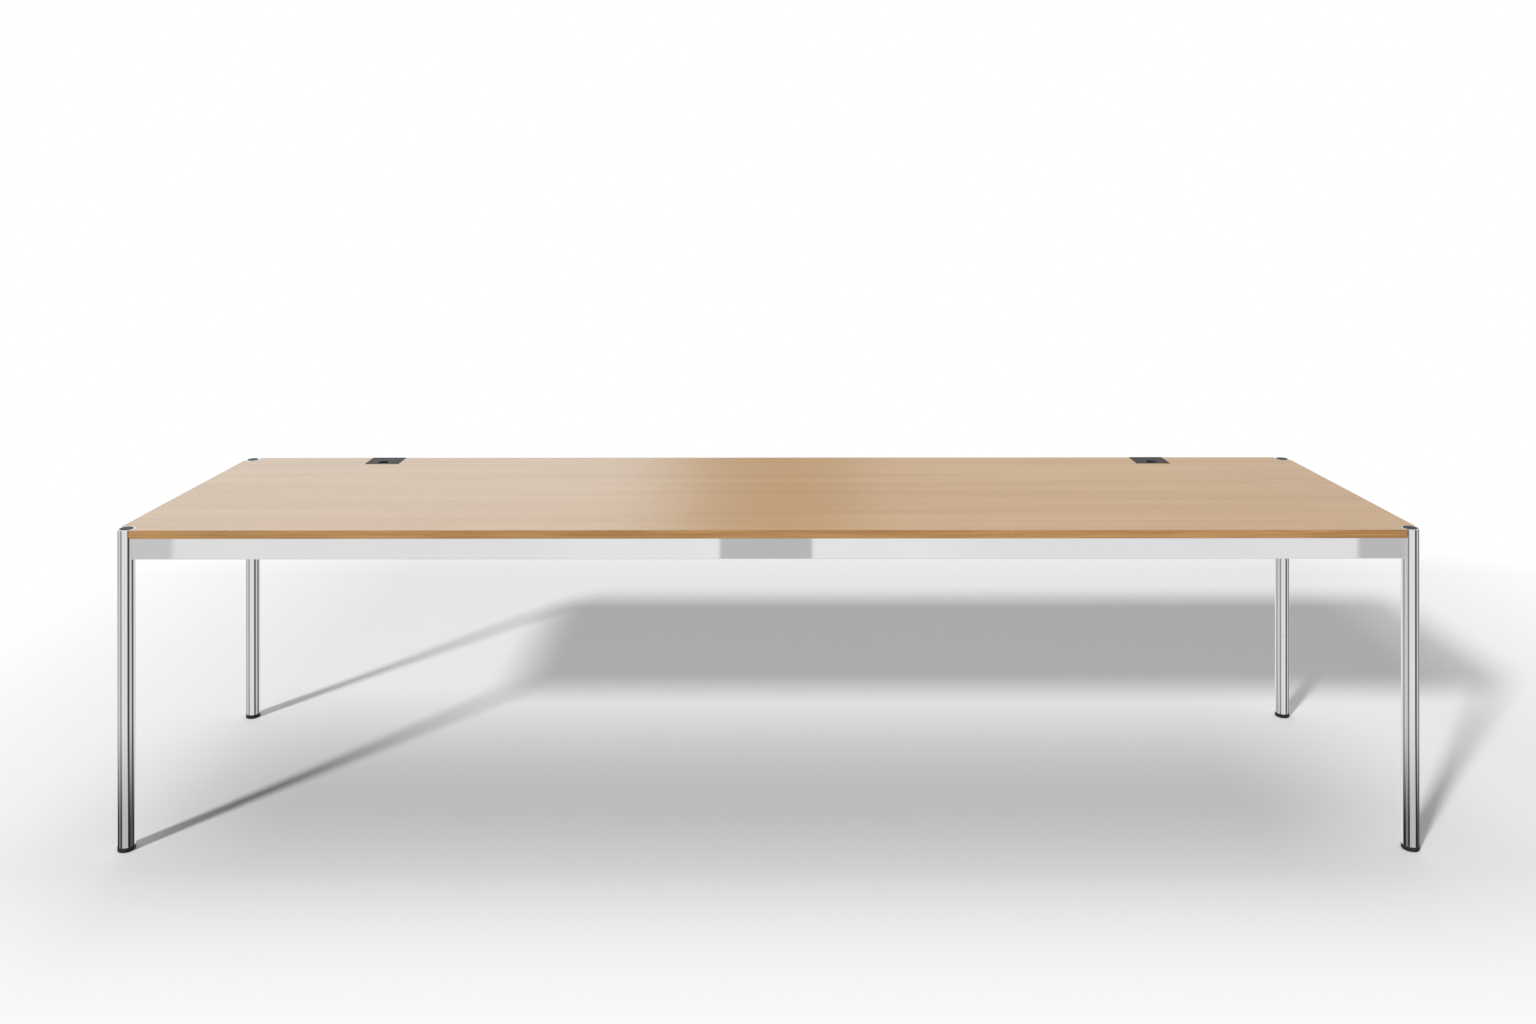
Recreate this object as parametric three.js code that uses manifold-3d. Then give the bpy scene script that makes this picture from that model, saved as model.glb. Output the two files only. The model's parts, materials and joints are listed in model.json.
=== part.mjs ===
// Conference table: a veneered top on a frame of round chromed legs and flat chromed rails,
// with levelling feet and two lidded cable ports let into the back edge of the top.
// Millimetres, +Z up. The origin is on the floor under the middle of the table, and the front faces -Y.
import * as THREE from "three";
import { mergeVertices } from "three/addons/utils/BufferGeometryUtils.js";
import Module from "manifold-3d";

const wasm = await Module();
wasm.setup();

// Overall sizes
const overallLength = 3003; // outside of leg to outside of leg, along X
const overallDepth = 753; // outside of leg to outside of leg, along Y
const tableHeight = 740; // floor to the upper face of the top

// Clearances
const fitGap = 0.3; // between pieces that seat in each other
const holeGap = 0.5; // round a bolt or screw in its hole
const cutOver = 1; // how far a cutting shape runs past the face it opens

// Legs: steel tube, closed above by a push-in cap
const legDiameter = 38;
const legWall = 3.5;
const rimChamfer = 0.5;
const capThickness = 3;
const capWall = 2.5;
const capDepth = 16;
const capCrown = 0.6;

// Levelling feet: a plastic pad on a threaded stud, in an insert pressed into the leg
const padDiameter = 39;
const padHeight = 10;
const padChamfer = 1.2;
const padFloor = 4; // plastic under the stud
const studDiameter = 10;
const insertHeight = 22;
const insertSetback = 2; // the insert sits this far up the leg
const footTravel = 15;

// Rails: rectangular tube centred on the leg axes, cut to fit round the legs
const railHeight = 50;
const railThickness = 22;
const railWall = 1.5;
const railCorner = 2;

// Top board, with its edges flush with the outside of the legs
const topThickness = 19;
const notchGap = 0.5;
const edgeEndDepth = 8; // depth of the square end of each edge, beside a leg

// Corner brackets: pressed steel, hooked into the rails and drawn to the leg by one bolt
const bracketPlate = 3;
const bracketHeight = 40;
const webFromAxis = 32; // leg axis to the web, along the diagonal
const wingLength = 55;
const lipDepth = 6;
const lipMargin = 6; // the lips stop this far short of the bracket's upper and lower edges
const boltDiameter = 8;
const boltHeadWidth = 13;
const boltHeadHeight = 5.5;
const boltReach = 6; // how far the bolt runs past the leg axis
const nutHeight = 24;

// Cross rails: pressed channels, open below, that carry the middle of the top
const crossRailFromEnd = 1000; // from the outside of the legs, along X
const crossRailWidth = 40;
const crossRailHeight = 30;
const crossRailPlate = 2;
const crossRailEndPlate = 3;
const crossScrewFromMiddle = 150; // wood screws in each cross rail, either side of the middle

// Screws
const woodScrewDiameter = 4;
const woodScrewBite = 12; // into the board
const woodScrewHead = 8;
const woodScrewHeadHeight = 2.6;
const woodScrewTip = 3;
const railScrewDiameter = 6;
const railScrewLength = 12;
const railScrewHead = 11;
const railScrewHeadHeight = 4;

// Cable ports: a flanged collar let into the back edge, with a lid hinged at the back
const portFromEnd = 407.5; // from the outside of the legs, along X
const portWidth = 94;
const portDepth = 77;
const flangeThickness = 0.8;
const flangeOverlap = 4;
const flangeBorder = 7; // visible rim round the lid
const portBackBorder = 4;
const lugReach = 2.3; // snap lugs that hold the collar, under the board
const lugWidth = 20;
const lugHeight = 4;
const ledgeWidth = 2;
const lidThickness = 3;
const lidGap = 0.5;
const knuckleRadius = 2.4;
const hingeInset = 8; // back edge of the board to the hinge pin
const hingePinDiameter = 2.4;
const hingePinSeat = 2; // length of pin in each side wall
const cableSlotWidth = 28;
const cableSlotDepth = 28;

// Facets on round pieces
const tubeFacets = 32;
const plugFacets = 24;
const boltFacets = 12;
const screwFacets = 8;

// Worked out from the sizes above
const legRadius = legDiameter / 2;
const boreRadius = legRadius - legWall;
const plugRadius = boreRadius - fitGap;
const legX = overallLength / 2 - legRadius;
const legY = overallDepth / 2 - legRadius;
const legBottom = padHeight + fitGap;
const notchRadius = legRadius + notchGap;
const edgeEndInside = legRadius - edgeEndDepth;
const edgeEndReach = Math.sqrt(notchRadius ** 2 - edgeEndInside ** 2);
const boardUnderside = tableHeight - topThickness;
const boardX = overallLength / 2;
const boardY = overallDepth / 2;
const railHalf = railThickness / 2;
const railMiddle = boardUnderside - railHeight / 2;
const wingStart = webFromAxis * Math.SQRT2 - railHalf;
const wingEnd = wingStart + wingLength;
const boltLevel = boardUnderside - bracketHeight / 2;
const bracketScrewAt = (wingStart + wingEnd) / 4 + railHalf / 2;
const lipTop = boardUnderside - lipMargin;
const lipBottom = boardUnderside - bracketHeight + lipMargin;
const crossRailX = overallLength / 2 - crossRailFromEnd;
const portX = overallLength / 2 - portFromEnd;
const crossScrewLevel = boardUnderside - crossRailHeight / 2;
const crossRailSpan = 2 * (legY - railHalf);
const portNotchWidth = portWidth - 2 * flangeOverlap;
const portNotchDepth = portDepth - flangeOverlap;
const pocketWidth = portWidth - 2 * flangeBorder;
const pocketFront = flangeBorder - portDepth;
const passageWidth = pocketWidth - 2 * ledgeWidth;
const passageFront = pocketFront + ledgeWidth;
const hingeLevel = flangeThickness - knuckleRadius;

const chrome = new THREE.MeshStandardMaterial({ color: 0xdcdcde, roughness: 0.06, metalness: 1 });
const zincPlate = new THREE.MeshStandardMaterial({ color: 0xb4b6b8, roughness: 0.4, metalness: 1 });
const beech = new THREE.MeshStandardMaterial({ color: 0xc4a078, roughness: 0.4, metalness: 0 });
const greyPlastic = new THREE.MeshStandardMaterial({ color: 0x626264, roughness: 0.5, metalness: 0 });
const blackPlastic = new THREE.MeshStandardMaterial({ color: 0x1e1e1f, roughness: 0.55, metalness: 0 });

// Solids for joining and cutting
function solidOf(geometry) {
  const bare = geometry.index ? geometry.toNonIndexed() : geometry.clone();
  bare.deleteAttribute("normal");
  bare.deleteAttribute("uv");
  const merged = mergeVertices(bare, 1e-4);
  const vertProperties = merged.attributes.position.array;
  const triVerts = new Uint32Array(merged.index.array);
  return new wasm.Manifold(new wasm.Mesh({ numProp: 3, vertProperties, triVerts }));
}

function geometryOf(solid) {
  const made = solid.getMesh();
  const geometry = new THREE.BufferGeometry();
  geometry.setAttribute("position", new THREE.BufferAttribute(made.vertProperties, 3));
  geometry.setIndex(new THREE.BufferAttribute(made.triVerts, 1));
  geometry.computeVertexNormals();
  return geometry;
}

function join(...pieces) {
  return geometryOf(pieces.map(solidOf).reduce((whole, piece) => whole.add(piece)));
}

function cut(body, ...tools) {
  return geometryOf(tools.map(solidOf).reduce((whole, tool) => whole.subtract(tool), solidOf(body)));
}

// Plain shapes, each given by its lowest and highest corner or by its profile
function box(low, high) {
  const size = high.map((value, axis) => value - low[axis]);
  const middle = high.map((value, axis) => (value + low[axis]) / 2);
  return new THREE.BoxGeometry(...size).translate(...middle);
}

// A profile of [radius, height] points turned round the Z axis, from below to above on the outside
function turned(profile, facets) {
  const points = profile.map(([radius, height]) => new THREE.Vector2(radius, height));
  return new THREE.LatheGeometry(points, facets).rotateX(Math.PI / 2);
}

function rod(radius, from, to, facets) {
  return turned([[0, from], [radius, from], [radius, to], [0, to]], facets);
}

// The same rod lying along the inward diagonal of a corner, at a level above the floor
function diagonalRod(radius, from, to, level, facets) {
  return rod(radius, from, to, facets).rotateY(Math.PI / 2).rotateZ(Math.PI / 4).translate(0, 0, level);
}

function rodAlongX(radius, from, to, facets) {
  return rod(radius, from, to, facets).rotateY(Math.PI / 2);
}

function rodAlongY(radius, from, to, facets) {
  return rod(radius, from, to, facets).rotateX(-Math.PI / 2);
}

function outline(points) {
  return new THREE.Shape(points.map(([x, y]) => new THREE.Vector2(x, y)));
}

function plate(shape, low, high) {
  const options = { depth: high - low, bevelEnabled: false, curveSegments: 6 };
  return new THREE.ExtrudeGeometry(shape, options).translate(0, 0, low);
}

function roundedRectangle(width, height, radius) {
  const x = width / 2 - radius;
  const y = height / 2 - radius;
  const shape = new THREE.Shape();
  shape.absarc(x, y, radius, 0, Math.PI / 2);
  shape.absarc(-x, y, radius, Math.PI / 2, Math.PI);
  shape.absarc(-x, -y, radius, Math.PI, 1.5 * Math.PI);
  shape.absarc(x, -y, radius, 1.5 * Math.PI, 2 * Math.PI);
  shape.closePath();
  return shape;
}

function piece(name, geometry, material) {
  const mesh = new THREE.Mesh(geometry, material);
  mesh.name = name;
  return mesh;
}

// Legs
function legTube() {
  const tube = turned(
    [
      [boreRadius, legBottom],
      [legRadius - rimChamfer, legBottom],
      [legRadius, legBottom + rimChamfer],
      [legRadius, tableHeight - rimChamfer],
      [legRadius - rimChamfer, tableHeight],
      [boreRadius, tableHeight],
      [boreRadius, legBottom],
    ],
    tubeFacets,
  );
  const boltHole = diagonalRod(boltDiameter / 2 + holeGap, 0, legRadius + cutOver, boltLevel, boltFacets);
  return cut(tube, boltHole);
}

function legCap() {
  const under = tableHeight - capThickness;
  const bottom = tableHeight - capDepth;
  return turned(
    [
      [0, under],
      [plugRadius - capWall, under],
      [plugRadius - capWall, bottom],
      [plugRadius, bottom],
      [plugRadius, tableHeight],
      [plugRadius - capWall, tableHeight + capCrown],
      [0, tableHeight + capCrown],
    ],
    plugFacets,
  );
}

function legNut() {
  const plug = rod(plugRadius, boltLevel - nutHeight / 2, boltLevel + nutHeight / 2, plugFacets);
  const threadRadius = boltDiameter / 2 + fitGap;
  return cut(plug, diagonalRod(threadRadius, -boltReach - cutOver, legRadius, boltLevel, boltFacets));
}

function footInsert() {
  const bottom = legBottom + insertSetback;
  const thread = studDiameter / 2 + fitGap;
  const top = bottom + insertHeight;
  const ring = [[thread, bottom], [plugRadius, bottom], [plugRadius, top], [thread, top], [thread, bottom]];
  return turned(ring, plugFacets);
}

function footStud() {
  const top = legBottom + insertSetback + insertHeight + footTravel;
  const radius = studDiameter / 2;
  return turned([[0, padFloor], [radius, padFloor], [radius, top], [0, top]], boltFacets);
}

function footPad() {
  const radius = padDiameter / 2;
  const socket = studDiameter / 2 + fitGap;
  return turned(
    [
      [0, 0],
      [radius - padChamfer, 0],
      [radius, padChamfer],
      [radius, padHeight - padChamfer],
      [radius - padChamfer, padHeight],
      [socket, padHeight],
      [socket, padFloor - fitGap],
      [0, padFloor - fitGap],
    ],
    plugFacets,
  );
}

// Corner bracket, drawn in the corner's own axes: X and Y run inwards along the two rails
function cornerBracket() {
  const mitre = bracketPlate * (Math.SQRT2 - 1);
  const inner = railHalf + bracketPlate;
  const bottom = boardUnderside - bracketHeight;
  const strip = outline([
    [wingStart, railHalf],
    [wingEnd, railHalf],
    [wingEnd, inner],
    [wingStart + mitre, inner],
    [inner, wingStart + mitre],
    [inner, wingEnd],
    [railHalf, wingEnd],
    [railHalf, wingStart],
  ]);
  const flange = outline([
    [wingStart, railHalf],
    [wingEnd, railHalf],
    [railHalf, wingEnd],
    [railHalf, wingStart],
  ]);
  const lipStart = wingEnd - bracketPlate;
  const lipTip = railHalf - lipDepth;
  const body = join(
    plate(strip, bottom, boardUnderside),
    plate(flange, boardUnderside - bracketPlate, boardUnderside),
    box([lipStart, lipTip, lipBottom], [wingEnd, inner, lipTop]),
    box([lipTip, lipStart, lipBottom], [inner, wingEnd, lipTop]),
  );
  const webEnds = [webFromAxis - cutOver, webFromAxis + bracketPlate + cutOver];
  const boltHole = diagonalRod(boltDiameter / 2 + holeGap, ...webEnds, boltLevel, boltFacets);
  const screwHole = rod(
    woodScrewDiameter / 2 + holeGap,
    boardUnderside - bracketPlate - cutOver,
    boardUnderside + cutOver,
    screwFacets,
  ).translate(bracketScrewAt, bracketScrewAt, 0);
  return cut(body, boltHole, screwHole);
}

function legBolt() {
  const headSeat = webFromAxis + bracketPlate + fitGap;
  const headRadius = boltHeadWidth / Math.sqrt(3);
  const shankEnd = headSeat + boltHeadHeight / 2;
  const shank = diagonalRod(boltDiameter / 2, -boltReach, shankEnd, boltLevel, boltFacets);
  const head = diagonalRod(headRadius, headSeat, headSeat + boltHeadHeight, boltLevel, 6);
  return join(shank, head);
}

// A wood screw driven upwards: its head seats under a plate, and its point ends in the board
function woodScrew(plateThickness) {
  const radius = woodScrewDiameter / 2;
  const seat = boardUnderside - plateThickness - fitGap;
  const tip = boardUnderside + woodScrewBite;
  return turned(
    [
      [0, seat - woodScrewHeadHeight],
      [woodScrewHead / 2, seat - woodScrewHeadHeight],
      [woodScrewHead / 2, seat],
      [radius, seat],
      [radius, tip - woodScrewTip],
      [0, tip],
    ],
    screwFacets,
  );
}

// Rails, lying along X about their own middle, with the inner face towards +Y
function rail(axisSpan, screwPlaces) {
  const innerCorner = Math.max(railCorner - railWall, railWall / 3);
  const section = roundedRectangle(railThickness, railHeight, railCorner);
  const hollow = roundedRectangle(railThickness - 2 * railWall, railHeight - 2 * railWall, innerCorner);
  const alongX = new THREE.Matrix4().makeBasis(
    new THREE.Vector3(0, 1, 0),
    new THREE.Vector3(0, 0, 1),
    new THREE.Vector3(1, 0, 0),
  );
  const half = axisSpan / 2;
  const outside = plate(section, -half, half).applyMatrix4(alongX).translate(0, 0, railMiddle);
  const reach = half + cutOver;
  const bore = plate(hollow, -reach, reach).applyMatrix4(alongX).translate(0, 0, railMiddle);
  const wallInside = railHalf - railWall - cutOver;
  const wallOutside = railHalf + cutOver;
  const tools = [bore];
  for (const end of [-1, 1]) {
    const saddle = rod(legRadius + fitGap, railMiddle - railHeight, railMiddle + railHeight, tubeFacets);
    tools.push(saddle.translate(end * half, 0, 0));
    const boltWay = diagonalRod(boltDiameter / 2 + holeGap, 0, webFromAxis, boltLevel, boltFacets);
    tools.push(boltWay.rotateZ(end > 0 ? Math.PI / 2 : 0).translate(end * half, 0, 0));
    const slotEnds = [half - wingEnd - fitGap, half - wingEnd + bracketPlate + fitGap];
    const [slotLow, slotHigh] = slotEnds.map((value) => end * value).sort((a, b) => a - b);
    tools.push(box([slotLow, wallInside, lipBottom - fitGap], [slotHigh, wallOutside, lipTop + fitGap]));
  }
  for (const place of screwPlaces) {
    const hole = rodAlongY(railScrewDiameter / 2 + holeGap, wallInside, wallOutside, boltFacets);
    tools.push(hole.translate(place, 0, crossScrewLevel));
  }
  return cut(outside, ...tools);
}

// Cross rail, lying along Y about its own middle
function crossRail() {
  const half = crossRailWidth / 2;
  const end = crossRailSpan / 2;
  const bottom = boardUnderside - crossRailHeight;
  const web = boardUnderside - crossRailPlate;
  const body = join(
    box([-half, -end, web], [half, end, boardUnderside]),
    box([-half, -end, bottom], [crossRailPlate - half, end, boardUnderside]),
    box([half - crossRailPlate, -end, bottom], [half, end, boardUnderside]),
    box([-half, -end, bottom], [half, crossRailEndPlate - end, boardUnderside]),
    box([-half, end - crossRailEndPlate, bottom], [half, end, boardUnderside]),
  );
  const endRadius = railScrewDiameter / 2 + holeGap;
  const screwRadius = woodScrewDiameter / 2 + holeGap;
  const tools = [];
  for (const side of [-1, 1]) {
    const endHole = rodAlongY(endRadius, -cutOver, crossRailEndPlate + cutOver, boltFacets);
    tools.push(endHole.translate(0, side > 0 ? end - crossRailEndPlate : -end, crossScrewLevel));
    const screwHole = rod(screwRadius, web - cutOver, boardUnderside + cutOver, screwFacets);
    tools.push(screwHole.translate(0, side * crossScrewFromMiddle, 0));
  }
  return cut(body, ...tools);
}

// A screw that holds a cross rail to a long rail, pointing along +Y from its seat at the origin
function railScrew() {
  const radius = railScrewDiameter / 2;
  return turned(
    [
      [0, -railScrewHeadHeight],
      [railScrewHead / 2, -railScrewHeadHeight],
      [railScrewHead / 2, 0],
      [radius, 0],
      [radius, railScrewLength],
      [0, railScrewLength],
    ],
    boltFacets,
  ).rotateX(-Math.PI / 2);
}

// Cable port, about the middle of its length on the board's back edge, at the board's upper face
function portFrame() {
  const flangeHalf = portWidth / 2;
  const collarHalf = portNotchWidth / 2 - fitGap;
  const collarFront = fitGap - portNotchDepth;
  const collarBottom = fitGap - topThickness;
  const lugTop = -topThickness - fitGap;
  const lugBottom = lugTop - lugHeight;
  const lugBack = (collarFront - legRadius - railHalf + lugWidth) / 2;
  const lugFront = lugBack - lugWidth;
  const ledge = flangeThickness - lidThickness - fitGap;
  const body = join(
    box([-flangeHalf, -portDepth, 0], [flangeHalf, 0, flangeThickness]),
    box([-collarHalf, collarFront, collarBottom], [collarHalf, 0, flangeThickness]),
    box([-collarHalf, lugFront, lugBottom], [collarHalf, lugBack, 0]),
    box([-collarHalf - lugReach, lugFront, lugBottom], [collarHalf + lugReach, lugBack, lugTop]),
  );
  const pocket = box(
    [-pocketWidth / 2, pocketFront, ledge],
    [pocketWidth / 2, -portBackBorder, flangeThickness + cutOver],
  );
  const passage = box(
    [-passageWidth / 2, passageFront, lugBottom - cutOver],
    [passageWidth / 2, -portBackBorder, flangeThickness + cutOver],
  );
  const pinReach = pocketWidth / 2 + hingePinSeat + fitGap;
  const pinHole = rodAlongX(hingePinDiameter / 2 + fitGap, -pinReach, pinReach, boltFacets);
  return cut(body, pocket, passage, pinHole.translate(0, -hingeInset, hingeLevel));
}

function hingePin() {
  const reach = pocketWidth / 2 + hingePinSeat;
  return rodAlongX(hingePinDiameter / 2, -reach, reach, boltFacets).translate(0, -hingeInset, hingeLevel);
}

function portLid() {
  const half = pocketWidth / 2 - lidGap;
  const front = pocketFront + lidGap;
  const under = flangeThickness - lidThickness;
  const knuckleHalf = passageWidth / 2 - lidGap;
  const slotRadius = cableSlotWidth / 2;
  const slotStraight = front + cableSlotDepth - slotRadius;
  const slot = new THREE.Shape();
  slot.moveTo(-slotRadius, front - cutOver);
  slot.lineTo(slotRadius, front - cutOver);
  slot.absarc(0, slotStraight, slotRadius, 0, Math.PI);
  slot.closePath();
  const body = join(
    box([-half, front, under], [half, -hingeInset, flangeThickness]),
    rodAlongX(knuckleRadius, -knuckleHalf, knuckleHalf, plugFacets).translate(0, -hingeInset, hingeLevel),
  );
  const pinHole = rodAlongX(hingePinDiameter / 2 + fitGap, -half - cutOver, half + cutOver, boltFacets);
  return cut(
    body,
    plate(slot, under - cutOver, flangeThickness + cutOver),
    pinHole.translate(0, -hingeInset, hingeLevel),
  );
}

// Top board, cut away round the legs and the cable ports and drilled for the screws from below
function tableTop() {
  const board = box([-boardX, -boardY, boardUnderside], [boardX, boardY, tableHeight]);
  const low = boardUnderside - cutOver;
  const high = tableHeight + cutOver;
  const tools = [];
  const pilot = () =>
    rod(woodScrewDiameter / 2 + fitGap, low, boardUnderside + woodScrewBite + fitGap, screwFacets);
  for (const sx of [-1, 1]) {
    for (const sy of [-1, 1]) {
      tools.push(rod(notchRadius, low, high, tubeFacets).translate(sx * legX, sy * legY, 0));
      for (const [fromX, fromY] of [[-edgeEndReach, edgeEndInside], [edgeEndInside, -edgeEndReach]]) {
        const cornerX = [sx * (legX + fromX), sx * (boardX + cutOver)].sort((a, b) => a - b);
        const cornerY = [sy * (legY + fromY), sy * (boardY + cutOver)].sort((a, b) => a - b);
        tools.push(box([cornerX[0], cornerY[0], low], [cornerX[1], cornerY[1], high]));
      }
      tools.push(pilot().translate(sx * (legX - bracketScrewAt), sy * (legY - bracketScrewAt), 0));
      tools.push(pilot().translate(sx * crossRailX, sy * crossScrewFromMiddle, 0));
    }
    const middle = sx * portX;
    const notchHalf = portNotchWidth / 2;
    tools.push(
      box([middle - notchHalf, boardY - portNotchDepth, low], [middle + notchHalf, boardY + cutOver, high]),
    );
  }
  return cut(board, ...tools);
}

const table = new THREE.Group();
table.add(piece("table_top", tableTop(), beech));

// The four corners. Each group is mirrored so that its X and Y run inwards along the rails.
for (const [row, sy] of [["front", -1], ["back", 1]]) {
  for (const [side, sx] of [["left", -1], ["right", 1]]) {
    const corner = new THREE.Group();
    const place = `${row}_${side}`;
    corner.position.set(sx * legX, sy * legY, 0);
    corner.scale.set(-sx, -sy, 1);
    corner.add(
      piece(`${place}_leg_tube`, legTube(), chrome),
      piece(`${place}_leg_cap`, legCap(), greyPlastic),
      piece(`${place}_leg_nut`, legNut(), zincPlate),
      piece(`${place}_leg_bolt`, legBolt(), zincPlate),
      piece(`${place}_corner_bracket`, cornerBracket(), zincPlate),
      piece(`${place}_foot_insert`, footInsert(), zincPlate),
      piece(`${place}_foot_stud`, footStud(), zincPlate),
      piece(`${place}_foot_pad`, footPad(), blackPlastic),
    );
    const screw = piece(`${place}_bracket_screw`, woodScrew(bracketPlate), zincPlate);
    screw.position.set(bracketScrewAt, bracketScrewAt, 0);
    corner.add(screw);
    table.add(corner);
  }
}

// The four rails, each turned so that its inner face looks to the middle of the table
const crossRailPlaces = [-crossRailX, crossRailX];
const rails = [
  ["front_rail", 2 * legX, crossRailPlaces, [0, -legY], 0],
  ["back_rail", 2 * legX, crossRailPlaces, [0, legY], Math.PI],
  ["left_rail", 2 * legY, [], [-legX, 0], -Math.PI / 2],
  ["right_rail", 2 * legY, [], [legX, 0], Math.PI / 2],
];
for (const [name, axisSpan, screwPlaces, [x, y], turn] of rails) {
  const mesh = piece(name, rail(axisSpan, screwPlaces), chrome);
  mesh.position.set(x, y, 0);
  mesh.rotation.z = turn;
  table.add(mesh);
}

// The two cross rails with their screws, and the two cable ports
for (const [side, sx] of [["left", -1], ["right", 1]]) {
  const cross = new THREE.Group();
  cross.position.x = sx * crossRailX;
  cross.add(piece(`${side}_cross_rail`, crossRail(), zincPlate));
  for (const [row, sy] of [["front", -1], ["back", 1]]) {
    const topScrew = piece(`${side}_cross_rail_${row}_top_screw`, woodScrew(crossRailPlate), zincPlate);
    topScrew.position.y = sy * crossScrewFromMiddle;
    const seat = crossRailSpan / 2 - crossRailEndPlate - fitGap;
    const endScrew = piece(`${side}_cross_rail_${row}_end_screw`, railScrew(), zincPlate);
    endScrew.position.set(0, sy * seat, crossScrewLevel);
    endScrew.scale.y = sy;
    cross.add(topScrew, endScrew);
  }
  table.add(cross);

  const port = new THREE.Group();
  port.position.set(sx * portX, boardY, tableHeight);
  port.add(
    piece(`${side}_port_frame`, portFrame(), greyPlastic),
    piece(`${side}_port_lid`, portLid(), greyPlastic),
    piece(`${side}_port_hinge_pin`, hingePin(), zincPlate),
  );
  table.add(port);
}

export default table;
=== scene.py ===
import json
import math

import bmesh
import bpy
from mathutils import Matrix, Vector


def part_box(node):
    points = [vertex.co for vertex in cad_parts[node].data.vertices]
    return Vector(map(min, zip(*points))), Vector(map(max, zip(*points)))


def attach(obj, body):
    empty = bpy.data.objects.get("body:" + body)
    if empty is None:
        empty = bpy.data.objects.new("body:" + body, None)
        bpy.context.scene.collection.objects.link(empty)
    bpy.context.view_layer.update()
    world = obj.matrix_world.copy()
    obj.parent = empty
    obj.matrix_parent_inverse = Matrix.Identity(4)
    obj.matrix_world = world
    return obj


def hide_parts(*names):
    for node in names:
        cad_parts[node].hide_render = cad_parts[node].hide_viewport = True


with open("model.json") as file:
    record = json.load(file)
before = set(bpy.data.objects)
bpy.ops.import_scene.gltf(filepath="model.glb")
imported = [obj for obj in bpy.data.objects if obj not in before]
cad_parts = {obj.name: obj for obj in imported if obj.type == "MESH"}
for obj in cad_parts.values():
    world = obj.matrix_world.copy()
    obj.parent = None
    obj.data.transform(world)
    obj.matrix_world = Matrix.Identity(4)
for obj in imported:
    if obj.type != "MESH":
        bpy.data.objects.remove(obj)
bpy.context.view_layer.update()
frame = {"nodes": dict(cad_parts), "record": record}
record = frame["record"]
bodyOf = {node: body for body, nodes in record["behaviour"]["bodies"].items() for node in nodes}
slotOf = {row["node"]: row["material_slot"] for row in record["subparts"]}
corners = ["front_left", "front_right", "back_left", "back_right"]
sides = ["left", "right"]
joinWithin = 1e-6  # metres: points nearer than this count as one
flatWithin = 0.5  # degrees: faces nearer than this to one plane count as one


class Value:  # a node's output that takes part in Python sums
    def __init__(self, sheet, socket):
        self.sheet = sheet
        self.socket = socket

    def sum(self, operation, first, second):
        return self.sheet.node("ShaderNodeMath", {"operation": operation}, {0: first, 1: second})

    def __add__(self, other):
        return self.sum("ADD", self, other)

    def __radd__(self, other):
        return self.sum("ADD", other, self)

    def __sub__(self, other):
        return self.sum("SUBTRACT", self, other)

    def __rsub__(self, other):
        return self.sum("SUBTRACT", other, self)

    def __mul__(self, other):
        return self.sum("MULTIPLY", self, other)

    def __rmul__(self, other):
        return self.sum("MULTIPLY", other, self)

    def __abs__(self):
        return self.sheet.node("ShaderNodeMath", {"operation": "ABSOLUTE"}, {0: self})

    def __gt__(self, other):
        return self.sum("GREATER_THAN", self, other)

    def above(self, other):
        return self.sum("MAXIMUM", self, other)

    def below(self, other):
        return self.sum("MINIMUM", self, other)


class Sheet:  # a node tree, with one method that adds any node
    def __init__(self, tree):
        self.tree = tree
        self.tree.nodes.clear()

    def node(self, kind, settings=None, inputs=None, out=0):
        made = self.tree.nodes.new(kind)
        for key, value in (settings or {}).items():
            setattr(made, key, value)
        for key, value in (inputs or {}).items():
            if isinstance(value, Value):
                self.tree.links.new(value.socket, made.inputs[key])
            else:
                made.inputs[key].default_value = value
        if isinstance(out, tuple):
            return [Value(self, made.outputs[place]) for place in out]
        return Value(self, made.outputs[out]) if made.outputs else None

    def step(self, value, low, high):  # 0 below low, 1 above high, smooth between
        settings = {"interpolation_type": "SMOOTHSTEP"}
        return self.node("ShaderNodeMapRange", settings, {0: value, 1: low, 2: high, 3: 0.0, 4: 1.0})

    def mix(self, factor, first, second):
        settings = {"data_type": "RGBA"}
        return self.node("ShaderNodeMix", settings, {0: factor, 6: first, 7: second}, out=2)

    def place(self, stretch=(1.0, 1.0, 1.0)):  # Object coordinates, stretched for a pattern
        here = self.node("ShaderNodeTexCoord", out=3)
        return self.node("ShaderNodeMapping", None, {"Vector": here, "Scale": stretch})

    def noise(self, stretch, scale, detail, roughness=0.5, distortion=0.0):
        inputs = {"Vector": self.place(stretch), "Scale": scale, "Detail": detail}
        inputs.update({"Roughness": roughness, "Distortion": distortion})
        return self.node("ShaderNodeTexNoise", None, inputs)

    def cells(self, feature, scale, out=0):
        inputs = {"Vector": self.place(), "Scale": scale}
        return self.node("ShaderNodeTexVoronoi", {"feature": feature}, inputs, out)

    def axes(self, vector):
        return self.node("ShaderNodeSeparateXYZ", None, {0: vector}, out=(0, 1, 2))

    def bump(self, height, strength, distance):
        inputs = {"Height": height, "Strength": strength, "Distance": distance}
        return self.node("ShaderNodeBump", None, inputs)


def grey(level):
    return (level, level, level, 1.0)


def newSheet(name):
    material = bpy.data.materials.new(name)
    material.use_nodes = True
    return material, Sheet(material.node_tree)


def finish(sheet, inputs):  # closes a sheet with the one shader that every finish uses
    shader = sheet.node("ShaderNodeBsdfPrincipled", None, inputs)
    sheet.node("ShaderNodeOutputMaterial", None, {0: shader})


even = (1.0, 1.0, 1.0)  # for a pattern that isn't stretched

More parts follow.
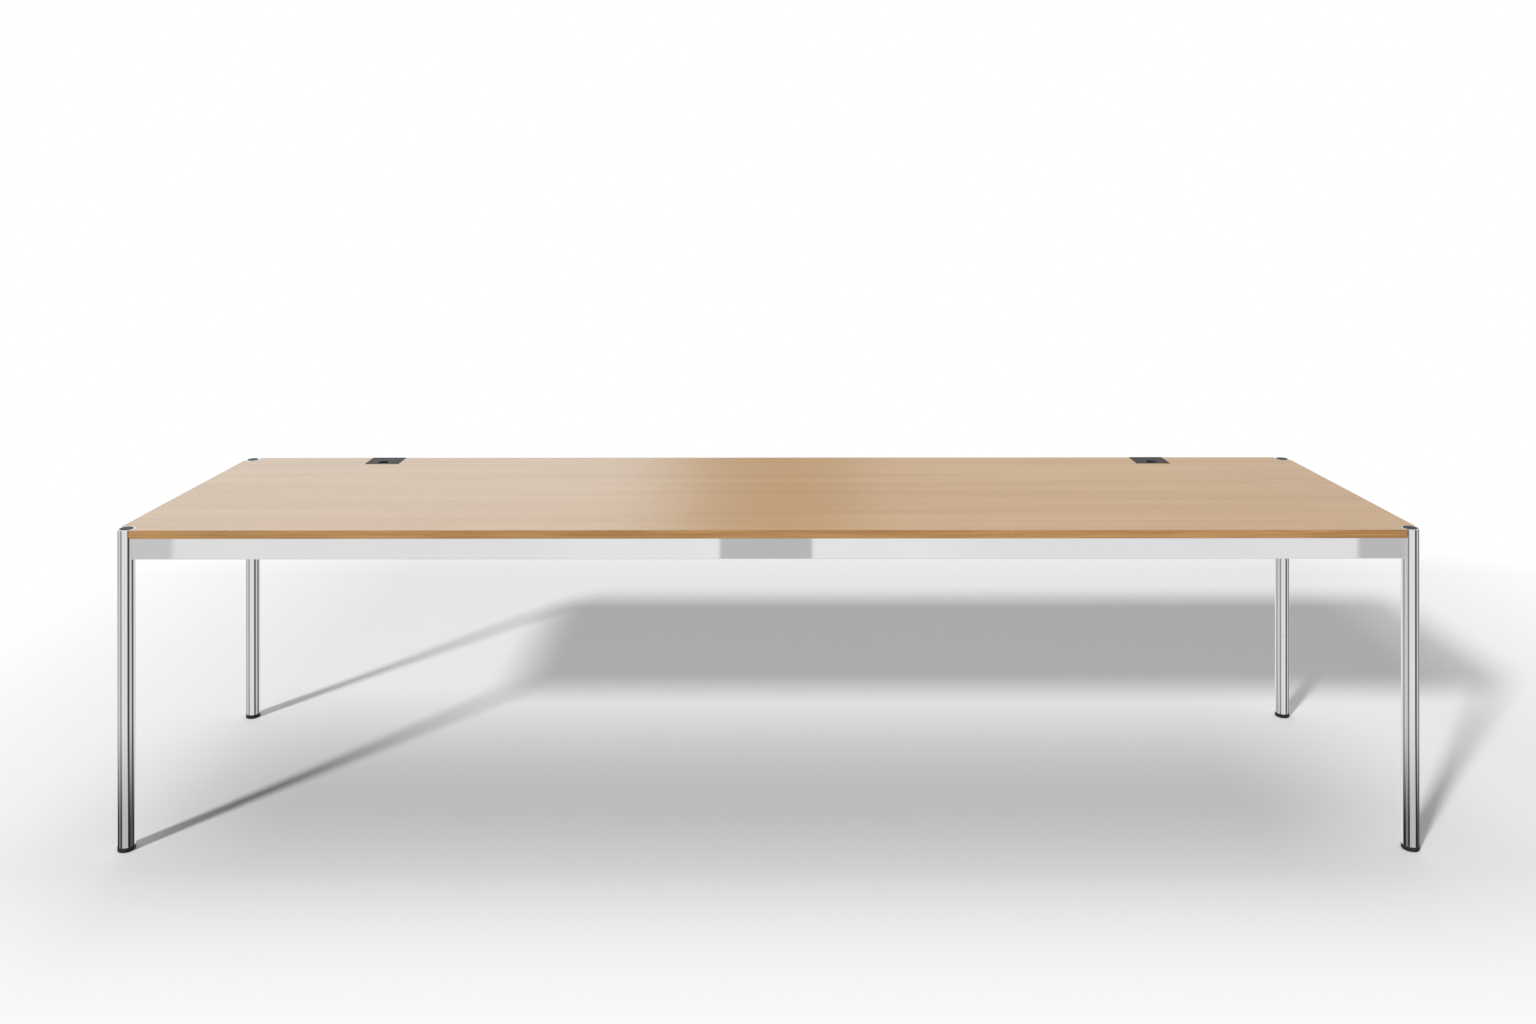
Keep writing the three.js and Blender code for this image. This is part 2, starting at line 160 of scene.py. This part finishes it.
# In the finishes, a pattern is its stretch along X, Y and Z, its scale and its detail, then its roughness and
# distortion where they count. A pair named From is where a pattern begins to show and where it shows in full.
beech = {
    "pale": (0.68, 0.425, 0.200, 1.0),
    "warm": (0.52, 0.298, 0.124, 1.0),
    "fleck": (0.34, 0.178, 0.072, 1.0),
    "solidPale": (0.46, 0.250, 0.088, 1.0),  # the lipping, solid beech
    "solidDark": (0.33, 0.160, 0.046, 1.0),
    "backing": (0.20, 0.195, 0.19, 1.0),  # the plain sheet under the board that keeps it flat
    "lipping": 0.002,
    "thick": 0.019,
    "patterns": {
        "bands": ((0.045, 1.0, 1.0), 16.0, 4.0, 0.6, 0.25),
        "broad": ((0.10, 1.0, 1.0), 3.0, 2.0),
        "streak": ((0.018, 1.0, 1.0), 95.0, 3.0, 0.65),
        "sway": ((0.25, 1.0, 1.0), 1.6, 2.0),
        "fibre": ((0.03, 1.0, 1.0), 420.0, 3.0, 0.6),
        "fleck": ((0.11, 1.0, 1.0), 330.0, 2.0, 0.6),
        "sideLines": ((0.02, 1.0, 1.0), 240.0, 3.0, 0.6, 0.4),  # in the lipping, along and across the edge
        "sideLengths": ((1.0, 0.2, 1.0), 2.2, 3.0),
        "endLines": ((1.0, 0.02, 1.0), 240.0, 3.0, 0.6, 0.4),
        "endLengths": ((0.2, 1.0, 1.0), 2.2, 3.0),
    },
    "warmShares": {"bands": 0.45, "broad": 0.2, "streak": 0.35, "sway": 0.1},
    "warmFrom": (0.30, 0.82),
    "fibreFrom": (0.5, 0.8),
    "fibreStrength": 0.25,
    "fleckFrom": (0.60, 0.72),
    "fleckBandFrom": (0.35, 0.65),  # flecks keep to the warm bands
    "fleckStrength": 0.4,
    "lineShare": 0.6,
    "lengthShare": 0.4,
    "solidDarkFrom": (0.38, 0.62),
    "veneerFrom": (0.0002, 0.0006),  # heights over the underside between the backing and the wood
    "roughness": 0.22,
    "fibreRough": 0.08,
    "fleckRough": 0.06,
    "backingRough": 0.3,
    "lacquer": 1.48,  # index of refraction
    "fibreHeight": 0.6,
    "fleckDepth": 0.5,
    "relief": (0.12, 0.0004),  # strength and depth of the bump, as in the other finishes
}


def beechFinish(high):  # high is the board's upper corner at the back right
    material, sheet = newSheet("beech_veneer")
    x, y, z = sheet.axes(sheet.place())
    grain = {name: sheet.noise(*pattern) for name, pattern in beech["patterns"].items()}
    warmth = sum(grain[name] * share for name, share in beech["warmShares"].items())
    fibres = sheet.step(grain["fibre"], *beech["fibreFrom"])
    banded = sheet.step(grain["bands"], *beech["fleckBandFrom"])
    flecks = sheet.step(grain["fleck"], *beech["fleckFrom"]) * banded
    colour = sheet.mix(sheet.step(warmth, *beech["warmFrom"]), beech["pale"], beech["warm"])
    colour = sheet.mix(fibres * beech["fibreStrength"], colour, beech["warm"])
    colour = sheet.mix(flecks * beech["fleckStrength"], colour, beech["fleck"])

    def lipping(edge):  # solid wood, its grain along the board's edge
        lines = grain[f"{edge}Lines"] * beech["lineShare"]
        lengths = grain[f"{edge}Lengths"] * beech["lengthShare"]
        darker = sheet.step(lines + lengths, *beech["solidDarkFrom"])
        return sheet.mix(darker, beech["solidPale"], beech["solidDark"])

    colour = sheet.mix(abs(y) > high.y - beech["lipping"], colour, lipping("side"))
    colour = sheet.mix(abs(x) > high.x - beech["lipping"], colour, lipping("end"))
    underside = high.z - beech["thick"]
    under = 1.0 - sheet.step(z, *(underside + rise for rise in beech["veneerFrom"]))
    colour = sheet.mix(under, colour, beech["backing"])
    rough = beech["roughness"] + grain["fibre"] * beech["fibreRough"] + flecks * beech["fleckRough"]
    height = grain["fibre"] * beech["fibreHeight"] - flecks * beech["fleckDepth"]
    finish(sheet, {
        "Base Color": colour,
        "Roughness": rough + under * beech["backingRough"],
        "IOR": beech["lacquer"],
        "Normal": sheet.bump(height, *beech["relief"]),
    })
    return material


chrome = {
    "tint": (0.90, 0.905, 0.915, 1.0),
    "hazed": (0.86, 0.865, 0.875, 1.0),
    "wipe": ((1.0, 1.0, 0.35), 9.0, 3.0, 0.55),
    "polish": ((6.0, 6.0, 0.4), 140.0, 2.0),
    "pits": (even, 900.0, 1.0),
    "hazeFrom": (0.45, 0.75),
    "hazeStrength": 0.5,
    "scratchFrom": (0.6, 0.8),
    "roughness": 0.014,
    "hazeRough": 0.018,
    "scratchRough": 0.008,
    "pitShare": 0.5,
    "polishShare": 0.5,
    "relief": (0.02, 0.0001),
}


def chromeFinish():
    material, sheet = newSheet("polished_chrome")
    polish = sheet.noise(*chrome["polish"])
    pits = sheet.noise(*chrome["pits"])
    haze = sheet.step(sheet.noise(*chrome["wipe"]), *chrome["hazeFrom"])
    scratches = sheet.step(polish, *chrome["scratchFrom"])
    height = pits * chrome["pitShare"] + polish * chrome["polishShare"]
    finish(sheet, {
        "Base Color": sheet.mix(haze * chrome["hazeStrength"], chrome["tint"], chrome["hazed"]),
        "Roughness": chrome["roughness"] + haze * chrome["hazeRough"] + scratches * chrome["scratchRough"],
        "Metallic": 1.0,
        "Normal": sheet.bump(height, *chrome["relief"]),
    })
    return material


zinc = {
    "bright": (0.66, 0.67, 0.68, 1.0),
    "dull": (0.46, 0.47, 0.48, 1.0),
    "spangles": 55.0,  # crystals in a metre
    "draw": ((1.0, 0.1, 1.0), 300.0, 2.0),
    "stain": (even, 14.0, 3.0),
    "stainFrom": (0.5, 0.75),
    "spangleDull": 0.35,
    "stainDull": 0.4,
    "roughness": 0.26,
    "spangleRough": 0.12,
    "stainRough": 0.15,
    "drawShare": 0.6,
    "spangleShare": 0.4,
    "relief": (0.10, 0.0002),
}


def zincFinish():
    material, sheet = newSheet("bright_zinc_plate")
    spangle = sheet.axes(sheet.cells("F1", zinc["spangles"], out=1))[0]
    draw = sheet.noise(*zinc["draw"])
    stain = sheet.step(sheet.noise(*zinc["stain"]), *zinc["stainFrom"])
    dull = spangle * zinc["spangleDull"] + stain * zinc["stainDull"]
    height = draw * zinc["drawShare"] + spangle * zinc["spangleShare"]
    finish(sheet, {
        "Base Color": sheet.mix(dull, zinc["bright"], zinc["dull"]),
        "Roughness": zinc["roughness"] + spangle * zinc["spangleRough"] + stain * zinc["stainRough"],
        "Metallic": 1.0,
        "Normal": sheet.bump(height, *zinc["relief"]),
    })
    return material


plastic = {
    "grey": {  # the leg caps and cable ports
        "dark": (0.042, 0.037, 0.033, 1.0),
        "light": (0.062, 0.056, 0.050, 1.0),
        "grain": 1400.0,
        "roughness": 0.6,
    },
    "black": {"dark": grey(0.014), "light": grey(0.024), "grain": 1100.0, "roughness": 0.5},  # the foot pads
    "grainDetail": (3.0, 0.6),
    "cellSize": 0.6,  # the moulded cells' scale, against the grain's
    "rub": (even, 30.0, 4.0, 0.6),
    "rubFrom": (0.45, 0.8),
    "grainLight": 0.5,
    "rubLight": 0.4,
    "rubSmooth": 0.10,
    "grainRough": 0.08,
    "refraction": 1.46,
    "specular": 0.3,
    "specularTint": (1.0, 0.88, 0.78, 1.0),
    "cellShare": 0.7,
    "grainShare": 0.3,
    "relief": (0.18, 0.0002),
}


def plasticFinish(shade):
    own = plastic[shade]
    material, sheet = newSheet(f"{shade}_moulded_plastic")
    grain = sheet.noise(even, own["grain"], *plastic["grainDetail"])
    cell = sheet.cells("SMOOTH_F1", own["grain"] * plastic["cellSize"])
    rub = sheet.step(sheet.noise(*plastic["rub"]), *plastic["rubFrom"])
    lighter = grain * plastic["grainLight"] + rub * plastic["rubLight"]
    height = cell * plastic["cellShare"] + grain * plastic["grainShare"]
    finish(sheet, {
        "Base Color": sheet.mix(lighter, own["dark"], own["light"]),
        "Roughness": own["roughness"] - rub * plastic["rubSmooth"] + grain * plastic["grainRough"],
        "IOR": plastic["refraction"],
        "Specular IOR Level": plastic["specular"],
        "Specular Tint": plastic["specularTint"],
        "Normal": sheet.bump(height, *plastic["relief"]),
    })
    return material


def extent(node):
    low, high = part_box(node)
    return low, high, (low + high) / 2


finishes = {
    "beech_veneer": beechFinish(extent("table_top")[1]),
    "chrome": chromeFinish(),
    "zinc_plate": zincFinish(),
    "grey_plastic": plasticFinish("grey"),
    "black_plastic": plasticFinish("black"),
}
print("finishes:", ", ".join(finishes))


shading = {"angle": 38.0, "faceWeight": 100}


def settle(bm, node, shadeAngle=shading["angle"]):  # makes the piece that stands for a node
    mesh = bpy.data.meshes.new(f"{node}_shape")
    bm.to_mesh(mesh)
    bm.free()
    mesh.materials.append(finishes[slotOf[node]])
    mesh.shade_smooth()
    mesh.set_sharp_from_angle(angle=math.radians(shadeAngle))
    piece = bpy.data.objects.new(f"{node}_finished", mesh)
    bpy.context.scene.collection.objects.link(piece)
    weighted = piece.modifiers.new("flat_shading", "WEIGHTED_NORMAL")  # so eased edges don't bend flat faces
    weighted.keep_sharp = True
    weighted.weight = shading["faceWeight"]
    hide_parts(node)
    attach(piece, bodyOf[node])


def sharpEdges(bm, angle=60.0):
    limit = math.radians(angle)
    return [edge for edge in bm.edges if len(edge.link_faces) == 2 and edge.calc_face_angle() > limit]


def soften(bm, edges, width, segments):
    bmesh.ops.bevel(
        bm,
        geom=edges,
        offset=width,
        offset_type="OFFSET",
        segments=segments,
        profile=0.5,
        affect="EDGES",
        material=-1,
        clamp_overlap=True,
    )


def spun(profile, middle, steps, closed):  # a profile of radius and height, turned about an upright axis
    bm = bmesh.new()
    points = [bm.verts.new((middle.x + radius, middle.y, height)) for radius, height in profile]
    ends = points[1:] + points[:1] if closed else points[1:]
    lines = [bm.edges.new(pair) for pair in zip(points, ends)]
    bmesh.ops.spin(
        bm,
        geom=points + lines,
        cent=(middle.x, middle.y, 0.0),
        axis=(0.0, 0.0, 1.0),
        angle=math.tau,
        steps=steps,
        use_merge=True,
    )
    bmesh.ops.remove_doubles(bm, verts=bm.verts, dist=joinWithin)
    bmesh.ops.recalc_face_normals(bm, faces=bm.faces)
    return bm


def merged(node):  # the node's own solid as clean faces
    bm = bmesh.new()
    bm.from_mesh(frame["nodes"][node].data)
    bmesh.ops.remove_doubles(bm, verts=bm.verts, dist=joinWithin)
    bmesh.ops.dissolve_limit(bm, angle_limit=math.radians(flatWithin), verts=bm.verts, edges=bm.edges)
    return bm


board = {"edge": 0.0006, "segments": 2}
pressed = {"edge": 0.0004, "segments": 2}  # pressed and drawn steel
port = {"edge": 0.0003, "segments": 3}


def makeEased(node, settings):  # the node's own solid with its edges eased
    bm = merged(node)
    soften(bm, sharpEdges(bm), settings["edge"], settings["segments"])
    settle(bm, node)


legTube = {"wall": 0.0035, "rim": 0.0005, "segments": 3, "steps": 112}


def makeLegTube(corner):
    node = f"{corner}_leg_tube"
    low, high, middle = extent(node)
    outer = (high.x - low.x) / 2
    inner = outer - legTube["wall"]
    profile = [(outer, low.z), (outer, high.z), (inner, high.z), (inner, low.z)]
    bm = spun(profile, middle, legTube["steps"], True)
    soften(bm, sharpEdges(bm), legTube["rim"], legTube["segments"])
    settle(bm, node)


legCap = {
    "wall": 0.0025,
    "thick": 0.003,
    "dish": 0.0004,
    "slopeAt": 0.55,  # shares of the radius and of the dish's depth, at a point on its slope
    "slopeDepth": 0.7,
    "rim": 0.0022,
    "edge": 0.0005,
    "segments": 3,
    "steps": 72,
}


def makeLegCap(corner):
    node = f"{corner}_leg_cap"
    low, high, middle = extent(node)
    outer = (high.x - low.x) / 2
    inner = outer - legCap["wall"]
    under = high.z - legCap["thick"]
    profile = [
        (0.0, high.z - legCap["dish"]),
        (outer * legCap["slopeAt"], high.z - legCap["dish"] * legCap["slopeDepth"]),
        (outer - legCap["rim"], high.z),
        (outer, high.z),
        (outer, low.z),
        (inner, low.z),
        (inner, under),
        (0.0, under),
    ]
    bm = spun(profile, middle, legCap["steps"], False)
    soften(bm, sharpEdges(bm), legCap["edge"], legCap["segments"])
    settle(bm, node)


footPad = {
    "edge": 0.0014,
    "segments": 4,
    "sharp": 75.0,  # degrees between two faces, past which their edge is rounded
    "groove": 0.0006,
    "grooveAt": 0.0068,
    "socket": 0.0053,
    "floor": 0.0037,
    "steps": 72,
    "clear": 0.000002,  # keeps the turned pad inside its solid's box
}


def makeFootPad(corner):
    node = f"{corner}_foot_pad"
    low, high, middle = extent(node)
    outer = (high.x - low.x) / 2 - footPad["clear"]
    groove = low.z + footPad["grooveAt"]
    profile = [
        (0.0, low.z),
        (outer, low.z),
        (outer, groove - footPad["groove"]),
        (outer - footPad["groove"], groove),
        (outer, groove + footPad["groove"]),
        (outer, high.z),
        (footPad["socket"], high.z),
        (footPad["socket"], low.z + footPad["floor"]),
        (0.0, low.z + footPad["floor"]),
    ]
    bm = spun(profile, middle, footPad["steps"], False)
    soften(bm, sharpEdges(bm, footPad["sharp"]), footPad["edge"], footPad["segments"])
    settle(bm, node)


footStud = {
    "pitch": 0.0015,
    "depth": 0.0009,
    "lead": 0.001,
    "chamfer": 0.0005,
    "steps": 40,
    "shadeAngle": 20.0,
}


def makeFootStud(corner):
    node = f"{corner}_foot_stud"
    low, high, middle = extent(node)
    outer = (high.x - low.x) / 2
    root = outer - footStud["depth"]
    turns = int((high.z - low.z - 2 * footStud["lead"]) / footStud["pitch"])
    profile = [(0.0, low.z), (root, low.z)]
    for turn in range(turns):
        foot = low.z + footStud["lead"] + turn * footStud["pitch"]
        profile += [(root, foot), (outer, foot + footStud["pitch"] * 0.5)]
    profile += [
        (root, high.z - footStud["lead"] * 0.5),
        (root - footStud["chamfer"], high.z),
        (0.0, high.z),
    ]
    settle(spun(profile, middle, footStud["steps"], False), node, footStud["shadeAngle"])


rail = {"shadeAngle": 50.0}  # its round corners stay smooth


def makeRail(node):
    settle(merged(node), node, rail["shadeAngle"])


screwHead = {"socket": 0.45, "depth": 0.0016, "edge": 0.0004, "segments": 2}  # socket as a share of the head


def makeScrew(node, outward):  # outward is the way that the head looks
    bm = merged(node)
    reach = max(face.calc_center_median().dot(outward) for face in bm.faces)
    crown = [face for face in bm.faces if face.calc_center_median().dot(outward) > reach - joinWithin]
    rim = [edge for face in crown for edge in face.edges if len(edge.link_faces) == 2]
    radius = max((vert.co - crown[0].calc_center_median()).length for vert in crown[0].verts)
    ring = radius * (1.0 - screwHead["socket"])
    bmesh.ops.inset_region(bm, faces=crown, thickness=ring, use_even_offset=True)
    sunk = bmesh.ops.extrude_face_region(bm, geom=crown)
    moved = [item for item in sunk["geom"] if isinstance(item, bmesh.types.BMVert)]
    bmesh.ops.delete(bm, geom=crown, context="FACES")
    bmesh.ops.translate(bm, verts=moved, vec=outward * -screwHead["depth"])
    bmesh.ops.recalc_face_normals(bm, faces=bm.faces)
    soften(bm, [edge for edge in rim if edge.is_valid], screwHead["edge"], screwHead["segments"])
    settle(bm, node)


makeEased("table_top", board)
for corner in corners:
    makeLegTube(corner)
    makeLegCap(corner)
    makeFootPad(corner)
    makeFootStud(corner)
    makeEased(f"{corner}_corner_bracket", pressed)
    makeEased(f"{corner}_leg_bolt", pressed)
    makeScrew(f"{corner}_bracket_screw", Vector((0.0, 0.0, -1.0)))
for name in ["front", "back", "left", "right"]:
    makeRail(f"{name}_rail")
for side in sides:
    makeEased(f"{side}_cross_rail", pressed)
    makeEased(f"{side}_port_frame", port)
    makeEased(f"{side}_port_lid", port)
    for row, way in (("front", 1.0), ("back", -1.0)):
        makeScrew(f"{side}_cross_rail_{row}_top_screw", Vector((0.0, 0.0, -1.0)))
        makeScrew(f"{side}_cross_rail_{row}_end_screw", Vector((0.0, way, 0.0)))
for node, shown in frame["nodes"].items():  # what stays as it is, inside the legs and ports
    shown.data.materials.clear()
    shown.data.materials.append(finishes[slotOf[node]])
print("pieces: top, legs, caps, feet, rails, brackets, cross rails, screws and cable ports")


photo = {  # in pixels, apart from the roll; the centre is where the eye looks straight ahead
    "width": 1536,
    "height": 1024,
    "focal": 1250.0,
    "centreX": 764.3,
    "centreY": 180.7,
    "roll": 0.0007,
}
eye = {"place": (-0.0086, -3.245, 1.5423), "sensor": 36.0}


def makeCamera():
    data = bpy.data.cameras.new("camera")
    data.sensor_width = eye["sensor"]
    data.lens = photo["focal"] / photo["width"] * eye["sensor"]
    data.shift_x = (photo["width"] / 2 - photo["centreX"]) / photo["width"]
    data.shift_y = (photo["centreY"] - photo["height"] / 2) / photo["width"]
    camera = bpy.data.objects.new("camera", data)
    camera.location = eye["place"]
    camera.rotation_euler = (math.pi / 2, photo["roll"], 0.0)
    bpy.context.scene.collection.objects.link(camera)
    bpy.context.scene.camera = camera


floor = {
    "size": 60.0,
    "colour": grey(0.86),
    "left": 1.41,  # how far from the middle the fade to white begins on each side
    "right": 1.99,
    "ahead": 0.445,
    "behind": 1.66,
    "besideFade": 0.85,  # how fast it fades there, as a share in each metre
    "aheadFade": 1.48,
    "behindFade": 1.05,
}


def makeFloor():
    bm = bmesh.new()
    bmesh.ops.create_grid(bm, x_segments=2, y_segments=2, size=floor["size"] / 2)
    mesh = bpy.data.meshes.new("floor")
    bm.to_mesh(mesh)
    bm.free()
    ground = bpy.data.objects.new("floor", mesh)
    bpy.context.scene.collection.objects.link(ground)
    ground.visible_glossy = False
    material, sheet = newSheet("pale_floor")
    x, y = sheet.axes(sheet.place())[:2]
    matt = sheet.node("ShaderNodeBsdfDiffuse", None, {"Color": floor["colour"]})
    white = sheet.node("ShaderNodeEmission", None, {"Color": grey(1.0), "Strength": 1.0})
    seen = sheet.node("ShaderNodeLightPath", out=0)
    beside = ((-floor["left"] - x).above(0.0) + (x - floor["right"]).above(0.0)) * floor["besideFade"]
    ahead = (-floor["ahead"] - y).above(0.0) * floor["aheadFade"]
    behind = (y - floor["behind"]).above(0.0) * floor["behindFade"]
    fade = (beside + ahead + behind).below(1.0) * seen
    both = sheet.node("ShaderNodeMixShader", None, {0: fade, 1: matt, 2: white})
    clear = sheet.node("ShaderNodeBsdfTransparent")
    fromBelow = sheet.node("ShaderNodeNewGeometry", out=6)
    oneSided = sheet.node("ShaderNodeMixShader", None, {0: fromBelow, 1: both, 2: clear})
    sheet.node("ShaderNodeOutputMaterial", None, {0: oneSided})
    mesh.materials.append(material)


# What the chrome and the lacquer reflect: panels round the studio. Each is the bearing of its first edge in
# degrees, how soft that edge is, and its brightness. The bearing grows towards the table's right.
studio = {
    "ambient": 0.105,
    "level": [  # just below eye level, from straight ahead of the table's front
        (-180, 1, 0.82), (-131, 20, 0.34), (-99, 16, 0.64), (-57, 3, 0.20), (-41, 3, 0.62), (-31, 3, 0.80),
        (-27.3, 0.2, 0.60), (-25.35, 0.2, 0.80), (-9.5, 5, 0.85), (-2.05, 0.15, 0.52), (2.18, 0.15, 0.85),
        (9.5, 5, 0.80), (25.4, 0.2, 0.52), (27.2, 0.2, 0.80), (37, 4, 0.06), (64, 3, 0.64), (93, 4, 0.16),
        (105, 4, 0.05), (123, 10, 0.72),
    ],
    "low": [  # looking down at the ground beside the legs
        (-180, 1, 0.77), (-127, 12, 0.03), (-80, 8, 0.24), (-58, 6, 0.05), (-30, 6, 0.52), (44, 6, 0.02),
        (76, 4, 0.10), (104, 6, 0.04), (141, 12, 0.77),
    ],
    "ground": [  # looking steeply down
        (-180, 1, 0.62), (-80, 60, 0.84), (80, 60, 0.62),
    ],
    "high": [  # above eye level, from straight behind the table, for the sheen on its top
        (-180, 1, 0.95), (-75, 40, (1.03, 1.23, 1.38)), (-4.0, 6.0, (0.30, 0.30, 0.31)),
        (4.2, 2.8, (0.65, 0.70, 0.74)), (75, 60, 0.95),
    ],
    "groundTo": (-46.0, -30.0),  # elevations over which one row of panels gives way to the next
    "lowTo": (-25.0, -20.6),
    "highTo": (-6.0, 4.0),
}


def makeWorld():
    world = bpy.data.worlds.new("studio")
    bpy.context.scene.world = world
    world.use_nodes = True
    world.cycles.sampling_method = "NONE"
    sheet = Sheet(world.node_tree)
    x, y, z = sheet.axes(sheet.node("ShaderNodeTexCoord", out=0))

    def around(name, ahead):
        turned = sheet.node("ShaderNodeMath", {"operation": "ARCTAN2"}, {0: x, 1: ahead})
        bearing = turned * math.degrees(1.0)
        colour = None
        for edge, soft, level in studio[name]:
            panel = (*level, 1.0) if isinstance(level, tuple) else grey(level)
            begun = sheet.step(bearing, edge - soft / 2, edge + soft / 2) if colour else None
            colour = sheet.mix(begun, colour, panel) if colour else panel
        return colour

    rise = sheet.node("ShaderNodeMath", {"operation": "ARCSINE"}, {0: z}) * math.degrees(1.0)
    front = y * -1.0
    below = sheet.mix(sheet.step(rise, *studio["groundTo"]), around("ground", front), around("low", front))
    below = sheet.mix(sheet.step(rise, *studio["lowTo"]), below, around("level", front))
    panels = sheet.mix(sheet.step(rise, *studio["highTo"]), below, around("high", y))
    camera, glossy, through = sheet.node("ShaderNodeLightPath", out=(0, 3, 6))
    light = sheet.mix(glossy, grey(studio["ambient"]), panels)
    light = sheet.mix(camera.above(through), light, grey(1.0))
    back = sheet.node("ShaderNodeBackground", None, {"Color": light, "Strength": 1.0})
    sheet.node("ShaderNodeOutputWorld", None, {0: back})


lamps = {  # way is where the light travels to, spread its size in the sky in degrees
    "key": {"way": (0.80, 1.008, -0.74), "strength": 2.88, "spread": 6.0},
    "overhead": {"way": (0.0, -0.15, -1.0), "strength": 1.14, "spread": 53.0},
}


def makeLamps():
    for name, settings in lamps.items():
        data = bpy.data.lights.new(name, "SUN")
        data.energy = settings["strength"]
        data.angle = math.radians(settings["spread"])
        lamp = bpy.data.objects.new(name, data)
        lamp.rotation_euler = Vector(settings["way"]).to_track_quat("-Z", "Y").to_euler()
        lamp.visible_glossy = False
        bpy.context.scene.collection.objects.link(lamp)


makeCamera()
makeFloor()
makeWorld()
makeLamps()
bpy.context.scene.view_settings.view_transform = "Standard"
print("stage: camera, floor, world and lamps")
